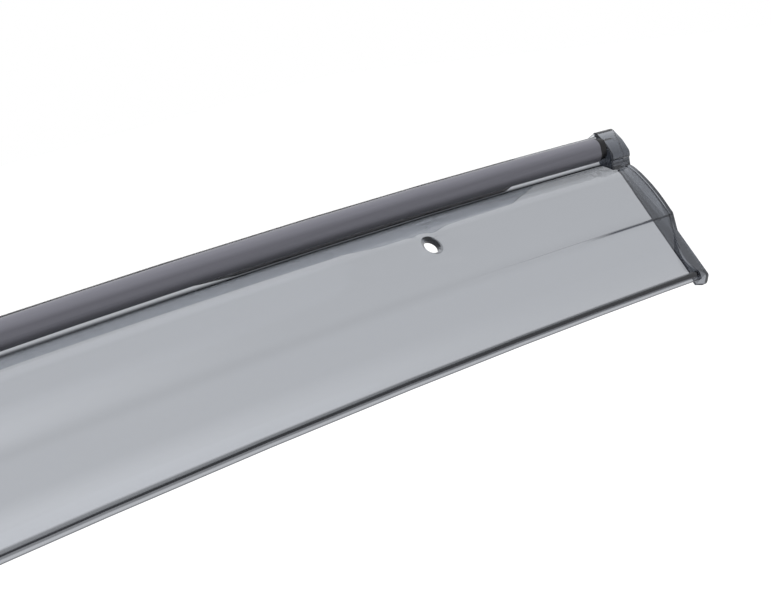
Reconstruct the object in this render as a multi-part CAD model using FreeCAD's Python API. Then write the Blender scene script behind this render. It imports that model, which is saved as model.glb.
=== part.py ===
# Window rain deflector: smoke-tinted moulded body, half-round trim strip and the tapes that hold them.
# X runs along the deflector with its rear end at +X, -Y points outwards from the car and +Z is up.
# The origin is on the fixing tape's face, at mid-length and halfway up the tape.
import FreeCAD, Part
import math
import os

Vector = FreeCAD.Vector

# Whole part
length = 800.0  # measured along the bow, a little under the blade's root
bow_radius = 7400.0  # the deflector follows the arched top of the window

# Fixing flange
flange_thickness = 2.0
flange_height = 16.3
edge_round = 0.6
least_round = 0.3

# Blade: corners of its outer face, measured out and down from its root on the flange, with slopes below level
blade_thickness = 2.2
root_up = 2.4  # over the line along which the length is measured
root_round = 1.8
shoulder_out = 8.5
shoulder_drop = 2.1
shoulder_share = 0.78  # share of the leg before the shoulder that its rounding takes up
crown_out = 20.9
crown_drop = 14.6
crown_share = 0.5  # share of the leg after the crown that its rounding takes up
crease_out = 28.9
crease_drop = 26.7
facet_slope = 81.5
facet_height = 8.7
facet_round = 4.0
facet_fade = 1.5  # what is left of the facet's own slope at the front
hollow_slope = 76.0
hollow_radius = 16.5
flare_slope = 32.0
rim_out = 42.3
rim_drop = 55.1
rim_slope = 85.0
rim_height = 3.8
rim_round = 3.0
rim_thickness = 1.4
foot_round = 0.5

# The crease is crisp at the rear end and softens towards the front, over these distances from the rear end
crease_round_rear = 0.8
crease_round_front = 16.0
crease_fade_from = 60.0
crease_fade_to = 360.0

# The blade gets narrower towards the front end
taper_from = 430.0  # distance from the rear end
taper_run = 540.0
front_share = 0.45  # share of the full width that the taper runs towards

# Where the sections of the body stand, as shares of its length from the rear end
stations = [0.0, 0.04, 0.1, 0.17, 0.26, 0.36, 0.46, 0.55, 0.64, 0.73, 0.82, 0.91, 1.0]

# Skirt of the flange behind the top of the blade: distances from the rear end and heights of its lower edge
skirt_thickness = 1.1
skirt_inset = 0.4
skirt_front = 12.0  # from the front end
skirt_edge = [(64.0, 0.3), (73.0, -1.6), (77.0, -2.6), (81.0, -3.9), (128.0, -4.6), (132.0, -5.2), (136.0, -5.9),
              (190.0, -3.7), (270.0, -3.3), (360.0, -3.0)]

# Closing walls at the two ends, proud of the blade, with a rounded toe below the rim
end_wall = 2.8
end_proud = 0.4
wall_corner_out = 45.5
wall_corner_drop = 57.0
wall_toe_out = 43.6
wall_toe_drop = 61.8
wall_heel_out = 38.2
wall_back_drop = 2.4  # of the corner at its back
wall_corner_round = 2.0
wall_bend_round = 1.5
wall_edge_round = 0.7

# Cap blocks that stop the trim strip
cap_length = 14.5
cap_height = 18.2
cap_top = 1.7
cap_crown_out = 7.0
cap_crown_up = 12.6
cap_crown_radius = 8.0
cap_nose_out = 10.4
cap_nose_up = 7.2
cap_nose_radius = 3.0
cap_chin_up = 4.6
cap_chin_round = 1.2
cap_neck_out = 9.8
cap_neck_up = 3.9
cap_seat = 1.2  # how far the block reaches into the blade
cap_round = 2.2
cap_face_round = 1.1
cap_back_inset = 0.5
ramp_length = 6.5
ramp_seat = 2.0
ramp_height = 17.7  # where it meets the cap block
ramp_inside = 0.6
ramp_outside = 1.2

# Trim strip: an extruded D-shaped tube
trim_depth = 5.8
trim_height = 11.6
trim_low = 4.6
trim_corner = 4.4
trim_wall = 1.3
trim_back_round = 0.4
trim_back_land = 0.2  # least flat between the two roundings of its section
trim_end_gap = 4.5  # from the strip's end to the cap block
collar_inset = 0.7
collar_gap = 0.3  # from the strip's collar to the cap block
plug_reach = 4.0  # of the cap's plug beyond the strip's collar
plug_clearance = 0.3

# Tape that holds the trim strip
trim_tape_thickness = 0.8
trim_tape_height = 8.0
trim_tape_inset = 4.0  # from the strip's ends

# Clip holes, drilled square to the rounded upper face
hole_diameter = 7.0
hole_mouth = 11.0
hole_mouth_depth = 1.1
hole_drill = 9.0  # length of the cutter on either side of the face
hole_reach = 11.0  # along the face from the shoulder's corner
hole_from_end = 154.7

# Fixing tape on the back of the flange: wide near the rear clip hole, narrower in front of it
tape_thickness = 1.1
tape_top = 15.6
tape_low = 1.9
tape_high = 6.2
tape_rear = 84.0
tape_rear_slant = 10.0
tape_step_from = 252.0
tape_step_to = 302.0
tape_front = 24.0

os.makedirs("parts", exist_ok=True)

trim_seat = flange_thickness + trim_tape_thickness
trim_high = trim_low + trim_height
rear_end = length / 2
bow_centre = Vector(0, 0, -bow_radius - (tape_high + tape_top) / 2)


# A point of the section at a place along the bow: out from the flange's back and up
def place(along, out, up):
    angle = along / bow_radius
    reach = bow_radius + up
    return bow_centre + Vector(reach * math.sin(angle), -tape_thickness - out, reach * math.cos(angle))


def direction(slope):
    return math.cos(math.radians(slope)), -math.sin(math.radians(slope))


# Where two lines meet, each given by a point and its slope below level
def meet(first, first_slope, second, second_slope):
    ax, ay = direction(first_slope)
    bx, by = direction(second_slope)
    across = ax * by - ay * bx
    reach = ((second[0] - first[0]) * by - (second[1] - first[1]) * bx) / across
    return first[0] + reach * ax, first[1] + reach * ay


# The same point moved square off a line with the given slope, towards the car
def inwards(point, slope, distance):
    x, y = direction(slope)
    return point[0] + y * distance, point[1] - x * distance


# Share that runs smoothly from 0 to 1 between two distances
def fade(distance, start, finish):
    share = min(1.0, max(0.0, (distance - start) / (finish - start)))
    return share * share * (3 - 2 * share)


# Closed wire through corner points, each rounded by its own radius or left sharp
def rounded_wire(corners, radii, put):
    count = len(corners)
    arcs = []
    for i in range(count):
        here = corners[i]
        if radii[i] == 0:
            arcs.append((here, here, here))
            continue
        legs = []
        for other in (corners[i - 1], corners[(i + 1) % count]):
            leg = (other[0] - here[0], other[1] - here[1])
            size = math.hypot(*leg)
            legs.append((leg[0] / size, leg[1] / size))
        before, after = legs
        half = math.acos(before[0] * after[0] + before[1] * after[1]) / 2
        setback = radii[i] / math.tan(half)
        reach = radii[i] / math.sin(half) - radii[i]
        bisector = (before[0] + after[0], before[1] + after[1])
        size = math.hypot(*bisector)
        start = (here[0] + before[0] * setback, here[1] + before[1] * setback)
        middle = (here[0] + bisector[0] / size * reach, here[1] + bisector[1] / size * reach)
        finish = (here[0] + after[0] * setback, here[1] + after[1] * setback)
        arcs.append((start, middle, finish))
    edges = []
    for i in range(count):
        start, middle, finish = arcs[i]
        if start != finish:
            edges.append(Part.Arc(put(*start), put(*middle), put(*finish)).toShape())
        edges.append(Part.LineSegment(put(*finish), put(*arcs[(i + 1) % count][0])).toShape())
    return Part.Wire(edges)


# Solid with one section all along a stretch of the bow
def along_bow(corners, rounds, start, finish):
    wire = rounded_wire(corners, rounds, lambda out, up: place(start, out, up))
    turn = math.degrees((finish - start) / bow_radius)
    solid = Part.Face(wire).revolve(bow_centre, Vector(0, 1, 0), turn)
    return solid if solid.Volume > 0 else solid.reversed()


# Short solid with one section that runs straight between two places on the bow
def straight(corners, rounds, start, finish):
    wire = rounded_wire(corners, rounds, lambda out, up: place(start, out, up))
    angle = start / bow_radius
    return Part.Face(wire).extrude(Vector(math.cos(angle), 0, -math.sin(angle)) * (finish - start))


# Flat plate with its outline given as distances from the rear end and heights, between two depths
def plate(outline, inside, outside):
    edges = []
    for i in range(len(outline)):
        start, finish = outline[i - 1], outline[i]
        middle = ((start[0] + finish[0]) / 2, (start[1] + finish[1]) / 2)
        ends = [place(rear_end - distance, inside, up) for distance, up in (start, middle, finish)]
        if start[0] == finish[0]:
            edges.append(Part.LineSegment(ends[0], ends[2]).toShape())
        else:
            edges.append(Part.Arc(*ends).toShape())
    return Part.Face(Part.Wire(edges)).extrude(Vector(0, inside - outside, 0))


# Share of the full width that the blade has at a distance from the rear end
def width_share(distance):
    return 1 - (1 - front_share) * fade(distance, taper_from, taper_from + taper_run)


# Slope below level of the line from one point to the next, in degrees
def slope_between(first, second):
    return math.degrees(math.atan2(first[1] - second[1], second[0] - first[0]))


# Radius that rounds the middle one of three points, from the length that its rounding takes up
def radius_for(setback, before, here, after):
    turn = slope_between(here, after) - slope_between(before, here)
    return setback / math.tan(math.radians(turn) / 2)


# Corners of the blade's outer face, the slopes between them and the radii that round them
def blade_corners(distance):
    share = width_share(distance)
    soft = fade(distance, crease_fade_from, crease_fade_to)
    facet = facet_slope + (hollow_slope + facet_fade - facet_slope) * soft
    root = (flange_thickness, root_up)
    shoulder = (flange_thickness + shoulder_out * share, root_up - shoulder_drop * share)
    crown = (flange_thickness + crown_out * share, root_up - crown_drop * share)
    crease = (flange_thickness + crease_out * share, root_up - crease_drop * share)
    facet_end = (crease[0] + facet_height * share / math.tan(math.radians(facet)),
                 crease[1] - facet_height * share)
    rim = (flange_thickness + rim_out * share, root_up - rim_drop * share)
    hollow = meet(facet_end, hollow_slope, rim, flare_slope)
    foot = (rim[0] + rim_height / math.tan(math.radians(rim_slope)), rim[1] - rim_height)
    points = [root, shoulder, crown, crease, facet_end, hollow, rim, foot]
    slopes = [slope_between(points[i], points[i + 1]) for i in range(len(points) - 1)]
    shoulder_round = radius_for(shoulder_share * math.dist(root, shoulder), root, shoulder, crown)
    crown_round = radius_for(crown_share * math.dist(crown, crease), shoulder, crown, crease)
    crease_round = crease_round_rear + (crease_round_front - crease_round_rear) * soft
    radii = [shoulder_round, crown_round, crease_round, facet_round, hollow_radius * share, rim_round]
    return points, slopes, radii


# Whole section of the body: flange, blade and rim
def body_section(distance):
    points, slopes, radii = blade_corners(distance)
    walls = [blade_thickness] * (len(slopes) - 1) + [rim_thickness]
    inner = []
    for i in range(1, len(points) - 1):
        before = inwards(points[i], slopes[i - 1], walls[i - 1])
        after = inwards(points[i], slopes[i], walls[i])
        inner.append(meet(before, slopes[i - 1], after, slopes[i]))
    inner_foot = inwards(points[-1], slopes[-1], rim_thickness)
    heel = meet((0, 0), 90, inwards(points[0], slopes[0], blade_thickness), slopes[0])
    inner_radii = []
    for i, radius in enumerate(radii):
        hollowed = slopes[i + 1] < slopes[i]
        inner_radii.append(max(least_round, radius + (blade_thickness if hollowed else -blade_thickness)))
    corners = [(0, flange_height), (flange_thickness, flange_height)] + points + [inner_foot] + inner[::-1] + [heel]
    rounds = [least_round, edge_round, root_round] + radii + [foot_round, foot_round] + inner_radii[::-1] + [0]
    return rounded_wire(corners, rounds, lambda out, up: place(rear_end - distance, out, up))


def make_wall():
    span = length - 2 * end_proud
    sections = [body_section(end_proud + span * fraction) for fraction in stations]
    return Part.makeLoft(sections, True, True)


def make_skirt():
    seat = root_up - blade_thickness / 2
    front = length - skirt_front
    outline = [(skirt_edge[0][0], seat)] + skirt_edge + [(front, skirt_edge[-1][1]), (front, seat)]
    return plate(outline, skirt_inset, skirt_inset + skirt_thickness)


# Corners and radii of the trim strip's D-shaped section, drawn in by an inset all round
def trim_section(inset):
    back, front = trim_seat + inset, trim_seat + trim_depth - inset
    low, high = trim_low + inset, trim_high - inset
    corner = min(trim_corner - inset, front - back - trim_back_round - trim_back_land)
    corners = [(back, low), (front, low), (front, high), (back, high)]
    return corners, [trim_back_round, corner, corner, trim_back_round]


# Closing wall of one end, seen from the side, at a distance from the rear end
def end_wall_outline(distance):
    points, slopes, radii = blade_corners(distance)
    share = width_share(distance)
    proud = [inwards(points[i], slopes[i], -end_proud) for i in range(5)]
    middle = [meet(proud[i - 1], slopes[i - 1], proud[i], slopes[i]) for i in range(1, 4)]
    corner = (flange_thickness + wall_corner_out * share, root_up - wall_corner_drop * share)
    toe_up = corner[1] - (wall_toe_drop - wall_corner_drop)
    toe = (flange_thickness + wall_toe_out * share, toe_up)
    heel = (flange_thickness + wall_heel_out * share, toe_up)
    back = cap_back_inset + least_round
    top = meet((back, 0), 90, proud[0], slopes[0])
    corners = [(back, root_up - wall_back_drop), top] + middle + [proud[4], corner, toe, heel]
    rounds = [0, 0] + radii[:2] + [radii[2] + end_proud, wall_bend_round] + [wall_corner_round] * 2 + [0]
    return corners, rounds


# Place along the bow, out and up, of the middle of an edge
def middle_of(edge):
    middle = edge.valueAt((edge.FirstParameter + edge.LastParameter) / 2) - bow_centre
    along = math.atan2(middle.x, middle.z) * bow_radius
    return along, -middle.y - tape_thickness, math.hypot(middle.x, middle.z) - bow_radius


# Whether an edge lies across the length at a place along the bow
def lies_at(edge, along):
    return abs(middle_of(edge)[0] - along) < least_round


# Cap block, with the edges of its two faces rounded wherever they show
def make_cap(end, sign):
    fall = shoulder_drop / shoulder_out
    seats = [root_up - (out - flange_thickness) * fall - cap_seat for out in (cap_back_inset, cap_neck_out)]
    corners = [(cap_back_inset, seats[0]), (cap_back_inset, cap_height), (cap_top, cap_height),
               (cap_crown_out, cap_crown_up), (cap_nose_out, cap_nose_up), (cap_nose_out, cap_chin_up),
               (cap_neck_out, cap_neck_up), (cap_neck_out, seats[1])]
    rounds = [0, 0, cap_round, cap_crown_radius, cap_nose_radius, cap_chin_round, 0, 0]
    block = straight(corners, rounds, end, end - sign * cap_length)
    shown = []
    for edge in block.Edges:
        along, out, up = middle_of(edge)
        on_face = lies_at(edge, end) or lies_at(edge, end - sign * cap_length)
        if on_face and out > cap_back_inset + least_round and up > (seats[1] if out > cap_neck_out - least_round else root_up):
            shown.append(edge)
    return block.makeFillet(cap_face_round, shown)


# Ramp that leads the flange's top edge up to the cap block
def make_ramp(rear):
    low, foot, tip = flange_height - ramp_seat, cap_length - ramp_seat, cap_length + ramp_length
    outline = [(foot, low), (foot, ramp_height), (cap_length, ramp_height),
               (tip, flange_height - edge_round), (tip, low)]
    if not rear:
        outline = [(length - distance, up) for distance, up in outline]
    return plate(outline, ramp_inside, ramp_outside)


# Cap block, plug for the trim strip, ramp and closing wall at one end
def end_pieces(rear):
    sign = 1 if rear else -1
    end = sign * rear_end
    wall = straight(*end_wall_outline(0.0 if rear else length), end, end - sign * end_wall)
    wall = wall.makeFillet(wall_edge_round, [edge for edge in wall.Edges if lies_at(edge, end)])
    heart = end - sign * cap_length / 2
    plug_tip = end - sign * (cap_length + trim_end_gap + plug_reach)
    plug = straight(*trim_section(trim_wall + plug_clearance), heart, plug_tip)
    return [make_cap(end, sign), plug, make_ramp(rear), wall]


# Cutter of a clip hole, square to the rounded upper face where it has the hole's slope
def hole_cutter(distance):
    points, slopes, radii = blade_corners(distance)
    reach = hole_reach * width_share(distance)
    x, y = direction(slopes[1])
    foot = (points[1][0] + x * reach, points[1][1] + y * reach)
    along = rear_end - distance
    face = place(along, *foot)
    outwards = (place(along, foot[0] - y, foot[1] + x) - face).normalize()
    drill = Part.makeCylinder(hole_diameter / 2, 2 * hole_drill, face - outwards * hole_drill, outwards)
    widening = (hole_mouth - hole_diameter) / 2 / hole_mouth_depth
    mouth = Part.makeCone(hole_diameter / 2, hole_mouth / 2 + end_proud * widening, hole_mouth_depth + end_proud,
                          face - outwards * hole_mouth_depth, outwards)
    return drill.fuse(mouth)


def make_body():
    body = make_wall()
    for piece in [make_skirt()] + end_pieces(True) + end_pieces(False):
        body = body.fuse(piece)
    return body.cut([hole_cutter(hole_from_end), hole_cutter(length - hole_from_end)])


# Trim strip: a tube with a slimmer collar at each end that runs up to the cap block
def make_trim():
    tip = rear_end - cap_length - collar_gap
    end = rear_end - cap_length - trim_end_gap
    outside = along_bow(*trim_section(0), end, -end).fuse(along_bow(*trim_section(collar_inset), tip, -tip))
    return outside.cut(along_bow(*trim_section(trim_wall), tip + trim_wall, -tip - trim_wall))


def make_trim_tape():
    end = rear_end - cap_length - trim_end_gap - trim_tape_inset
    middle = (trim_low + trim_high) / 2
    low, high = middle - trim_tape_height / 2, middle + trim_tape_height / 2
    corners = [(flange_thickness, low), (trim_seat, low), (trim_seat, high), (flange_thickness, high)]
    return along_bow(corners, [0] * len(corners), end, -end)


def make_mounting_tape():
    front = length - tape_front
    outline = [(tape_rear - tape_rear_slant, tape_top), (tape_rear - tape_rear_slant, tape_high), (tape_rear, tape_low),
               (tape_step_from, tape_low), (tape_step_to, tape_high), (front, tape_high), (front, tape_top)]
    return plate(outline, -tape_thickness, 0)


pieces = {
    "visor_body": make_body(),
    "trim_strip": make_trim(),
    "trim_tape": make_trim_tape(),
    "mounting_tape": make_mounting_tape(),
}
for name, piece in pieces.items():
    box = piece.BoundBox
    print(name, "valid", piece.isValid(), "solids", len(piece.Solids), "volume", round(piece.Volume, 1),
          "box", [round(value, 2) for value in (box.XMin, box.XMax, box.YMin, box.YMax, box.ZMin, box.ZMax)])
    piece.exportStep("parts/" + name + ".step")
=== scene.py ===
import math

import bmesh
import bpy
from mathutils import Matrix, Vector


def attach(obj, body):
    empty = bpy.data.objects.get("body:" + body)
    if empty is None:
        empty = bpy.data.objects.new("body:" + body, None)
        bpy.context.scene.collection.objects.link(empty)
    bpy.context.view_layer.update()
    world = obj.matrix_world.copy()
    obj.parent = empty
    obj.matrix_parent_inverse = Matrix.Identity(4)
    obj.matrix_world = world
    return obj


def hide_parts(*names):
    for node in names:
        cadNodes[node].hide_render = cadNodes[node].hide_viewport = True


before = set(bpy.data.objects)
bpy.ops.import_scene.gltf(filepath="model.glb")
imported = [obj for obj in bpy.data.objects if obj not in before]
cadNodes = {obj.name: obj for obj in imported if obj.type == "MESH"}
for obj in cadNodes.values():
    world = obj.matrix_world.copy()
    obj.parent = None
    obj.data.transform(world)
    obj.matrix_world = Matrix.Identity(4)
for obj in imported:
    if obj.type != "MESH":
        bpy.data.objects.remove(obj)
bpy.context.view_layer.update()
print("frame", len(cadNodes), "nodes")

# the bow that the deflector follows, in metres
bow = {"radius": 7.4, "halfLength": 0.4, "tape": 0.0011, "originUp": 0.0109}


# point of the section at a place along the bow
def onBow(along, out, up):
    angle = along / bow["radius"]
    reach = bow["radius"] + up
    return Vector((reach * math.sin(angle), -bow["tape"] - out,
                   reach * math.cos(angle) - bow["radius"] - bow["originUp"]))


def newMaterial(name):
    material = bpy.data.materials.new(name)
    material.use_nodes = True
    tree = material.node_tree
    return material, tree.nodes, tree.links, tree.nodes["Principled BSDF"], tree.nodes["Material Output"]


def setMaterial(obj, material):
    obj.data.materials.clear()
    obj.data.materials.append(material)
    for polygon in obj.data.polygons:
        polygon.material_index = 0


# value of a maths node with one or two inputs, each a socket or a number
def mathNode(tree, operation, first, second=0.0):
    node = tree.nodes.new("ShaderNodeMath")
    node.operation = operation
    for socket, value in zip(node.inputs, (first, second)):
        if isinstance(value, float):
            socket.default_value = value
        else:
            tree.links.new(value, socket)
    return node.outputs[0]


# value that goes softly from low to high between two ends
def ramp(tree, value, start, end, low, high):
    node = tree.nodes.new("ShaderNodeMapRange")
    node.interpolation_type = "SMOOTHSTEP"
    for name, number in (("From Min", start), ("From Max", end), ("To Min", low), ("To Max", high)):
        node.inputs[name].default_value = number
    tree.links.new(value, node.inputs["Value"])
    return node.outputs[0]


# colour between two that a factor picks; sockets 6 and 7 are the node's two colours
def mixColour(tree, factor, first, second):
    node = tree.nodes.new("ShaderNodeMix")
    node.data_type = "RGBA"
    for socket, value in ((node.inputs[0], factor), (node.inputs[6], first), (node.inputs[7], second)):
        if isinstance(value, tuple):
            socket.default_value = value
        else:
            tree.links.new(value, socket)
    return node.outputs[2]


# group that the strip and the foam share: noise on Object coordinates, scaled along each axis
def grainGroup():
    group = bpy.data.node_groups.new("grain", "ShaderNodeTree")
    group.interface.new_socket("Stretch", in_out="INPUT", socket_type="NodeSocketVector")
    group.interface.new_socket("Detail", in_out="INPUT", socket_type="NodeSocketFloat")
    group.interface.new_socket("Noise", in_out="OUTPUT", socket_type="NodeSocketFloat")
    given = group.nodes.new("NodeGroupInput")
    coords = group.nodes.new("ShaderNodeTexCoord")
    stretch = group.nodes.new("ShaderNodeMapping")
    noise = group.nodes.new("ShaderNodeTexNoise")
    noise.inputs["Scale"].default_value = 1.0
    result = group.nodes.new("NodeGroupOutput")
    group.links.new(coords.outputs["Object"], stretch.inputs["Vector"])
    group.links.new(given.outputs["Stretch"], stretch.inputs["Scale"])
    group.links.new(stretch.outputs[0], noise.inputs["Vector"])
    group.links.new(given.outputs["Detail"], noise.inputs["Detail"])
    group.links.new(noise.outputs["Fac"], result.inputs["Noise"])
    return group


grain = grainGroup()


# the shared noise with a material's own stretch and detail
def grainOn(tree, look):
    node = tree.nodes.new("ShaderNodeGroup")
    node.node_tree = grain
    node.inputs["Stretch"].default_value = look["grain"]
    node.inputs["Detail"].default_value = look["grainDetail"]
    return node.outputs["Noise"]


# clear plastic with a grey smoke tint; shades go from 0, clear, to 1, dark,
# and carry painted shade and painted light besides the tint
# bands: heights below the blade's root and the painted shade there: a painted dark line along the root,
# painted lighter strips beside it and above the rim, a painted dark band and dark outline along the rim
# lines: height, half width and shade, full at the distance near from the rear end and gone at far;
# the crease lines are painted shade along the crease, the two lines with a shade below zero are painted
# light
smokeLook = {
    "clear": (0.93, 0.95, 0.98, 1), "dark": (0.003, 0.004, 0.008, 1), "roughness": 0.02, "ior": 1.49,
    "glint": (0.86, 0.90, 1.0, 1), "tint": (0.0, 0.03, 0.09, 1), "density": 225.0,
    "bandsFrom": -0.002, "bandsTo": 0.061,
    "bands": ((-0.0013, 0.30), (-0.0007, 0.60), (-0.0002, 0.97), (0.0001, 0.97), (0.0004, 0.70),
              (0.0009, 0.20), (0.0014, 0.05), (0.0035, 0.05), (0.0065, 0.31), (0.0420, 0.31),
              (0.0520, 0.23), (0.0541, 0.21), (0.0546, 0.93), (0.0571, 0.97), (0.0575, 0.56),
              (0.0582, 0.52), (0.0585, 0.95)),
    "lines": {
        "crispCreaseShade": {"at": 0.0274, "half": 0.0010, "near": 0.042, "far": 0.074, "shade": 0.70},
        "softCreaseShade": {"at": 0.0272, "half": 0.0042, "near": 0.40, "far": 0.80, "shade": 0.07},
        "paintedLightHigh": {"at": 0.0200, "half": 0.0090, "near": 0.43, "far": 0.24, "shade": -0.26},
        "paintedLightLow": {"at": 0.0505, "half": 0.0090, "near": 0.50, "far": 0.05, "shade": -0.32}}}


# painted shade of one line along the blade, painted light where its shade is below zero
def bladeLine(tree, distance, drop, line):
    offset = mathNode(tree, "ABSOLUTE", mathNode(tree, "SUBTRACT", drop, line["at"]))
    return mathNode(tree, "MULTIPLY", ramp(tree, offset, 0.0, line["half"], line["shade"], 0.0),
                    ramp(tree, distance, line["near"], line["far"], 1.0, 0.0))


def smokePlastic():
    material, nodes, links, shader, output = newMaterial("smokePlastic")
    tree = material.node_tree
    section = nodes.new("ShaderNodeUVMap")
    section.uv_map = "section"
    place = nodes.new("ShaderNodeSeparateXYZ")
    links.new(section.outputs["UV"], place.inputs[0])
    distance, drop = place.outputs["X"], place.outputs["Y"]
    start, run = smokeLook["bandsFrom"], smokeLook["bandsTo"] - smokeLook["bandsFrom"]
    bands = nodes.new("ShaderNodeValToRGB")
    stops = bands.color_ramp.elements
    while len(stops) < len(smokeLook["bands"]):
        stops.new(1.0)
    for stop, (height, dark) in zip(stops, smokeLook["bands"]):
        stop.position = (height - start) / run
        stop.color = (dark, dark, dark, 1)
    links.new(mathNode(tree, "DIVIDE", mathNode(tree, "SUBTRACT", drop, start), run), bands.inputs[0])
    # each face's tint with its painted shade, and the painted bands on plain outer faces
    tintAndShadeNode = nodes.new("ShaderNodeAttribute")
    tintAndShadeNode.attribute_name = "tintAndPaintedShade"
    banded = mathNode(tree, "GREATER_THAN", drop, start)
    bandShade = mathNode(tree, "MULTIPLY", bands.outputs[0], banded)
    shade = mathNode(tree, "MAXIMUM", tintAndShadeNode.outputs["Fac"], bandShade)
    # painted crease shade and painted light lines along the blade
    for line in smokeLook["lines"].values():
        shade = mathNode(tree, "ADD", shade, bladeLine(tree, distance, drop, line))
    links.new(mixColour(tree, shade, smokeLook["clear"], smokeLook["dark"]), shader.inputs["Base Color"])
    shader.inputs["Roughness"].default_value = smokeLook["roughness"]
    shader.inputs["IOR"].default_value = smokeLook["ior"]
    shader.inputs["Specular Tint"].default_value = smokeLook["glint"]
    shader.inputs["Transmission Weight"].default_value = 1.0
    absorb = nodes.new("ShaderNodeVolumeAbsorption")
    absorb.inputs["Color"].default_value = smokeLook["tint"]
    absorb.inputs["Density"].default_value = smokeLook["density"]
    links.new(absorb.outputs["Volume"], output.inputs["Volume"])
    return material


# satin extruded plastic with a faint grain along the strip, and painted shade on the slim collars at its
# ends, where the gap to the caps lies in shadow
trimLook = {"dark": (0.195, 0.194, 0.225, 1), "pale": (0.250, 0.249, 0.286, 1),
            "grain": (6.0, 500.0, 500.0), "grainDetail": 3.0, "grainLow": 0.3, "grainHigh": 0.7,
            "smooth": 0.36, "rough": 0.44, "sheen": 0.16,
            "collar": (0.012, 0.012, 0.014, 1), "collarFrom": 0.3804}


def trimPlastic():
    material, nodes, links, shader, output = newMaterial("trimPlastic")
    tree = material.node_tree
    noise = grainOn(tree, trimLook)
    coords = nodes.new("ShaderNodeTexCoord")
    place = nodes.new("ShaderNodeSeparateXYZ")
    links.new(coords.outputs["Object"], place.inputs[0])
    fromMiddle = mathNode(tree, "ABSOLUTE", place.outputs["X"])
    # painted shade on the collars, where the gap to the caps lies in shadow
    onCollar = mathNode(tree, "GREATER_THAN", fromMiddle, trimLook["collarFrom"])
    strip = mixColour(tree, noise, trimLook["dark"], trimLook["pale"])
    links.new(mixColour(tree, onCollar, strip, trimLook["collar"]), shader.inputs["Base Color"])
    satin = ramp(tree, noise, trimLook["grainLow"], trimLook["grainHigh"],
                 trimLook["smooth"], trimLook["rough"])
    links.new(satin, shader.inputs["Roughness"])
    shader.inputs["Specular IOR Level"].default_value = trimLook["sheen"]
    return material


# black foam of both tapes
foamLook = {"dark": (0.012, 0.012, 0.013, 1), "pale": (0.035, 0.035, 0.037, 1),
            "grain": (1800.0, 1800.0, 1800.0), "grainDetail": 2.0,
            "roughness": 0.9, "bump": 0.4, "depth": 0.0002}


def tapeFoam():
    material, nodes, links, shader, output = newMaterial("tapeFoam")
    noise = grainOn(material.node_tree, foamLook)
    cells = mixColour(material.node_tree, noise, foamLook["dark"], foamLook["pale"])
    links.new(cells, shader.inputs["Base Color"])
    bump = nodes.new("ShaderNodeBump")
    bump.inputs["Strength"].default_value = foamLook["bump"]
    bump.inputs["Distance"].default_value = foamLook["depth"]
    links.new(noise, bump.inputs["Height"])
    links.new(bump.outputs[0], shader.inputs["Normal"])
    shader.inputs["Roughness"].default_value = foamLook["roughness"]
    return material


smoke = smokePlastic()
trim = trimPlastic()
foam = tapeFoam()
for nodeName, material in (("trim_strip", trim), ("trim_tape", foam), ("mounting_tape", foam)):
    setMaterial(cadNodes[nodeName], material)
print("strip and tapes: materials set")

# merged copy of the moulding, smooth up to its sharp edges, and how dark each kind of face is:
# the plain smoke tint; painted shade on the cap's chin and rounded edges, on the closing wall's rounded
# edges, lower face and foot, and round the holes; a clearer tint on the cap's face and neck and on the
# skirt
# tilt is how far a face looks along the deflector; drop is a depth below the root at full width
shellLook = {
    "merge": 0.00001, "sharp": 32.0, "flange": 0.002, "rootUp": 0.0024,
    "taperFrom": 0.43, "taperRun": 0.54, "frontShare": 0.45,
    "plain": 0.31, "bandFacing": -0.05, "bandTilt": 0.5,
    "cap": {"length": 0.0150, "up": 0.003, "neck": 0.0, "chin": 0.90, "chinFrom": 0.0042, "chinTo": 0.0054,
            "face": 0.04, "edge": 0.80, "edgeTilt": (0.3, 0.95)},
    "wall": {"thick": 0.0032, "round": 0.00078, "roundTilt": 0.99, "edge": 0.93, "edgeLow": 0.65,
             "edgeLowFrom": 0.036, "backDrop": 0.0024, "heelOut": 0.0362, "heelDrop": 0.0618,
             "backReach": 0.0025, "faceTilt": 0.9, "crease": 0.0267, "low": 0.80, "foot": 0.45,
             "footFrom": 0.052},
    "skirt": {"out": -0.0003, "drop": 0.002, "shade": 0.0},
    "hole": {"reach": 0.0056, "shade": 0.72,
             "places": ((0.245006, -0.019347, -0.022471), (-0.245069, -0.016218, -0.020563))}}


# distance from the rear end, out from the flange's back and up, of a point in the part's frame
def sectionPlace(point):
    x, z = point.x, point.z + bow["originUp"] + bow["radius"]
    return (bow["halfLength"] - math.atan2(x, z) * bow["radius"], -point.y - bow["tape"],
            math.hypot(x, z) - bow["radius"])


def toNearerEnd(distance):
    return min(distance, 2 * bow["halfLength"] - distance)


def widthShare(distance):
    share = min(1.0, max(0.0, (distance - shellLook["taperFrom"]) / shellLook["taperRun"]))
    return 1 - (1 - shellLook["frontShare"]) * share * share * (3 - 2 * share)


# painted shade on a cap block: a dark chin and dark rounded edges; the neck and face get a clearer tint
def capShade(up, toEnd, tilt):
    cap = shellLook["cap"]
    if up < cap["chinTo"]:
        return cap["chin"] if up > cap["chinFrom"] else cap["neck"]
    leastTilt, mostTilt = cap["edgeTilt"]
    rounded = leastTilt < tilt < mostTilt and toEnd < cap["length"] / 2
    return cap["edge"] if rounded else cap["face"]


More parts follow.
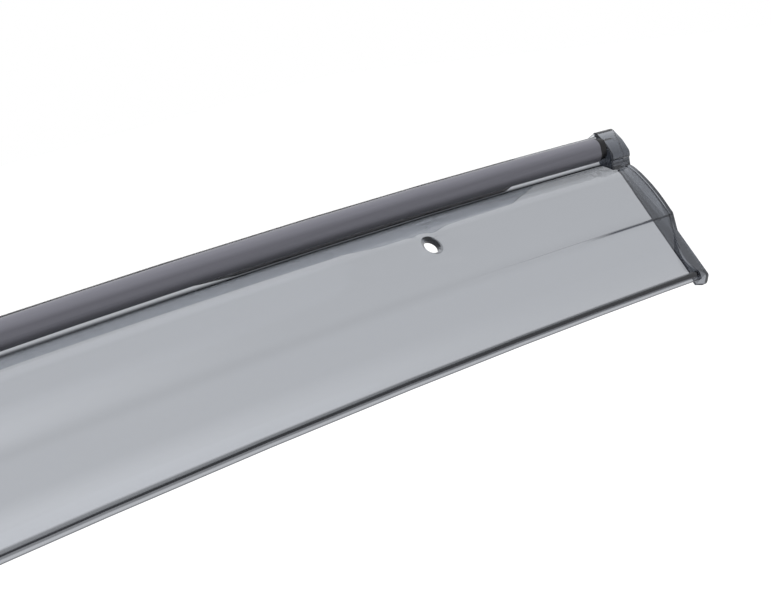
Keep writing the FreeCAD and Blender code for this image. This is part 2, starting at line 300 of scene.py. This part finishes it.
# painted shade on a face of the closing wall, dark on its rounded edges and darker on its lower face and
# foot, or None where it is like the rest; reach is its farthest corner's
def wallShade(out, drop, reach, tilt):
    wall = shellLook["wall"]
    if reach < wall["round"] and tilt < wall["roundTilt"]:
        backRun = (drop - wall["backDrop"]) / (wall["heelDrop"] - wall["backDrop"])
        atBack = abs(out - wall["heelOut"] * backRun) < wall["backReach"]
        if drop > wall["edgeLowFrom"]:
            return wall["edgeLow"]
        return shellLook["plain"] if atBack else wall["edge"]
    if tilt > wall["faceTilt"] and drop > wall["crease"]:
        return wall["foot"] if drop > wall["footFrom"] else wall["low"]
    return None


# tint of a face: painted shade on the cap, the closing wall and round the holes, clearer on the skirt, the
# plain smoke tint elsewhere
def faceShade(face):
    centre = face.calc_center_median()
    distance, out, up = sectionPlace(centre)
    toEnd = toNearerEnd(distance)
    share = widthShare(distance)
    out, drop = (out - shellLook["flange"]) / share, (shellLook["rootUp"] - up) / share
    tilt = abs(face.normal.x)
    if toEnd < shellLook["cap"]["length"] and up > shellLook["cap"]["up"]:
        return capShade(up, toEnd, tilt)
    if toEnd < shellLook["wall"]["thick"]:
        reach = max(toNearerEnd(sectionPlace(vertex.co)[0]) for vertex in face.verts)
        shade = wallShade(out, drop, reach, tilt)
        if shade is not None:
            return shade
    if out < shellLook["skirt"]["out"] and drop > shellLook["skirt"]["drop"]:
        return shellLook["skirt"]["shade"]
    hole = shellLook["hole"]
    if any((centre - Vector(place)).length < hole["reach"] for place in hole["places"]):
        return hole["shade"]
    return shellLook["plain"]


# writes the section's place and the face's tint with its painted shade on a face; the painted bands and
# lines lie on plain outer faces only
def paintFace(face, section, tintAndPaintedShade):
    shade = faceShade(face)
    banded = (shade == shellLook["plain"] and face.normal.y < shellLook["bandFacing"]
              and abs(face.normal.x) < shellLook["bandTilt"])
    for loop in face.loops:
        distance, out, up = sectionPlace(loop.vert.co)
        drop = (shellLook["rootUp"] - up) / widthShare(distance)
        loop[section].uv = (distance, drop if banded else -1.0)
        loop[tintAndPaintedShade] = (0, 0, 0, 1) if banded else (shade, shade, shade, 1)


shell = cadNodes["visor_body"].copy()
shell.data = cadNodes["visor_body"].data.copy()
shell.name = "visorShell"
bpy.context.scene.collection.objects.link(shell)
mesh = bmesh.new()
mesh.from_mesh(shell.data)
bmesh.ops.remove_doubles(mesh, verts=mesh.verts, dist=shellLook["merge"])
sectionLayer = mesh.loops.layers.uv.new("section")
shadeLayer = mesh.loops.layers.float_color.new("tintAndPaintedShade")
for face in mesh.faces:
    face.smooth = True
    paintFace(face, sectionLayer, shadeLayer)
for edge in mesh.edges:
    edge.smooth = len(edge.link_faces) == 2 and edge.calc_face_angle() < math.radians(shellLook["sharp"])
mesh.to_mesh(shell.data)
mesh.free()
setMaterial(shell, smoke)
weighted = shell.modifiers.new("weighted", "WEIGHTED_NORMAL")
weighted.keep_sharp = True
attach(shell, "root")
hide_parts("visor_body")
print("visorShell", len(shell.data.polygons), "faces")


# mixes what the camera meets, straight or through and off the plastic,
# with the light that falls on the object
def mixByRay(tree, lit, shown, target):
    path = tree.nodes.new("ShaderNodeLightPath")
    seen = mathNode(tree, "MAXIMUM", path.outputs["Is Camera Ray"], path.outputs["Is Transmission Ray"])
    seen = mathNode(tree, "MAXIMUM", seen, path.outputs["Is Glossy Ray"])
    direct = mathNode(tree, "LESS_THAN", path.outputs["Diffuse Depth"], 0.5)  # not yet off a matt face
    mix = tree.nodes.new("ShaderNodeMixShader")
    tree.links.new(mathNode(tree, "MULTIPLY", seen, direct), mix.inputs[0])
    tree.links.new(lit, mix.inputs[1])
    tree.links.new(shown, mix.inputs[2])
    tree.links.new(mix.outputs[0], target)


# floor well below the object, as white as the room from afar, with the object's soft shadow under it;
# seen from below it is clear
floorLook = {"down": 0.6, "half": 6.0, "paint": (0.3, 0.3, 0.31, 1), "rough": 0.9,
             "glowFrom": 0.6, "glowTo": 1.8, "glowNear": 0.82, "glowFar": 0.96}


def floorPaint():
    material, nodes, links, shader, output = newMaterial("floorPaint")
    tree = material.node_tree
    shader.inputs["Base Color"].default_value = floorLook["paint"]
    shader.inputs["Roughness"].default_value = floorLook["rough"]
    coords = nodes.new("ShaderNodeTexCoord")
    fromCentre = nodes.new("ShaderNodeVectorMath")
    fromCentre.operation = "LENGTH"
    links.new(coords.outputs["Object"], fromCentre.inputs[0])
    glow = nodes.new("ShaderNodeEmission")
    strength = ramp(tree, fromCentre.outputs["Value"], floorLook["glowFrom"], floorLook["glowTo"],
                    floorLook["glowNear"], floorLook["glowFar"])
    links.new(strength, glow.inputs["Strength"])
    seenFloor = nodes.new("ShaderNodeAddShader")
    links.new(shader.outputs[0], seenFloor.inputs[0])
    links.new(glow.outputs[0], seenFloor.inputs[1])
    side = nodes.new("ShaderNodeNewGeometry")
    clear = nodes.new("ShaderNodeBsdfTransparent")
    oneSided = nodes.new("ShaderNodeMixShader")
    links.new(side.outputs["Backfacing"], oneSided.inputs[0])
    mixByRay(tree, shader.outputs[0], seenFloor.outputs[0], oneSided.inputs[1])
    links.new(clear.outputs[0], oneSided.inputs[2])
    links.new(oneSided.outputs[0], output.inputs["Surface"])
    return material


floorMesh = bpy.data.meshes.new("floor")
floor = bpy.data.objects.new("floor", floorMesh)
bpy.context.scene.collection.objects.link(floor)
sheet = bmesh.new()
bmesh.ops.create_grid(sheet, x_segments=1, y_segments=1, size=floorLook["half"])
bmesh.ops.translate(sheet, verts=sheet.verts, vec=(0, 0, -floorLook["down"]))
sheet.to_mesh(floorMesh)
sheet.free()
floorMesh.materials.append(floorPaint())
print("floor", floorLook["down"], "m below the part")

# studio: white low down for the plastic, darker overhead where the eye looks up through it
studioLook = {"lit": (0.55, 0.56, 0.58, 1), "litStrength": 0.34, "white": (1, 1, 1, 1),
              "overhead": (0.30, 0.31, 0.33, 1), "whiteUpTo": 0.10, "darkFrom": 0.45}


def studioWorld():
    world = bpy.data.worlds.new("studio")
    world.use_nodes = True
    tree = world.node_tree
    lit = tree.nodes["Background"]
    lit.inputs["Color"].default_value = studioLook["lit"]
    lit.inputs["Strength"].default_value = studioLook["litStrength"]
    direction = tree.nodes.new("ShaderNodeTexCoord")
    slope = tree.nodes.new("ShaderNodeSeparateXYZ")
    tree.links.new(direction.outputs["Generated"], slope.inputs[0])
    high = ramp(tree, slope.outputs["Z"], studioLook["whiteUpTo"], studioLook["darkFrom"], 0.0, 1.0)
    path = tree.nodes.new("ShaderNodeLightPath")
    highThrough = mathNode(tree, "MULTIPLY", high, path.outputs["Is Transmission Ray"])
    shown = tree.nodes.new("ShaderNodeBackground")
    room = mixColour(tree, highThrough, studioLook["white"], studioLook["overhead"])
    tree.links.new(room, shown.inputs["Color"])
    mixByRay(tree, lit.outputs[0], shown.outputs[0], tree.nodes["World Output"].inputs["Surface"])
    return world


bpy.context.scene.world = studioWorld()
print("studio world set")

lampLook = {
    "topLamp": {"place": (0.2, -0.3, 1.8), "target": (0.2, 0, 0), "size": (3.6, 1.4), "power": 18},
    "frontLamp": {"place": (-0.6, -1.6, 2.1), "target": (0.1, 0, 0), "size": (2.4, 1.6), "power": 42}}


def softbox(name, place, target, size, power):
    light = bpy.data.lights.new(name, "AREA")
    light.shape = "RECTANGLE"
    light.size, light.size_y = size
    light.energy = power
    lamp = bpy.data.objects.new(name, light)
    bpy.context.scene.collection.objects.link(lamp)
    lamp.location = place
    lamp.visible_glossy = False  # its reflection would lie as a hard patch on the blade
    lamp.rotation_euler = (Vector(target) - Vector(place)).to_track_quat("-Z", "Y").to_euler()


for lampName, lamp in lampLook.items():
    softbox(lampName, **lamp)
    print(lampName, lamp["power"], "W")

# camera, solved from the photograph at a point of the rear end
# eye, forward and right are along the bow there, towards the car and up
cameraLook = {"lens": 95.72, "sensor": 36, "pointOut": 0.009, "eye": (-0.78455, -0.61594, 0.10537),
              "forward": (0.69318, 0.70444, -0.15252), "right": (0.68798, -0.70976, -0.15138)}
endAngle = bow["halfLength"] / bow["radius"]
endAxes = (Vector((math.cos(endAngle), 0, -math.sin(endAngle))), Vector((0, 1, 0)),
           Vector((math.sin(endAngle), 0, math.cos(endAngle))))


def fromEndAxes(amounts):
    along, inwards, upwards = (axis * amount for axis, amount in zip(endAxes, amounts))
    return along + inwards + upwards


eye = onBow(bow["halfLength"], cameraLook["pointOut"], 0) + fromEndAxes(cameraLook["eye"])
forward = fromEndAxes(cameraLook["forward"]).normalized()
right = fromEndAxes(cameraLook["right"])
right = (right - right.dot(forward) * forward).normalized()
camera = bpy.data.cameras.new("camera")
camera.lens = cameraLook["lens"]
camera.sensor_width = cameraLook["sensor"]
cameraObject = bpy.data.objects.new("camera", camera)
bpy.context.scene.collection.objects.link(cameraObject)
turn = Matrix((right, right.cross(forward), -forward)).transposed()
cameraObject.matrix_world = Matrix.Translation(eye) @ turn.to_4x4()
bpy.context.scene.camera = cameraObject
print("camera", camera.lens, "mm")

bpy.context.scene.view_settings.view_transform = "Standard"
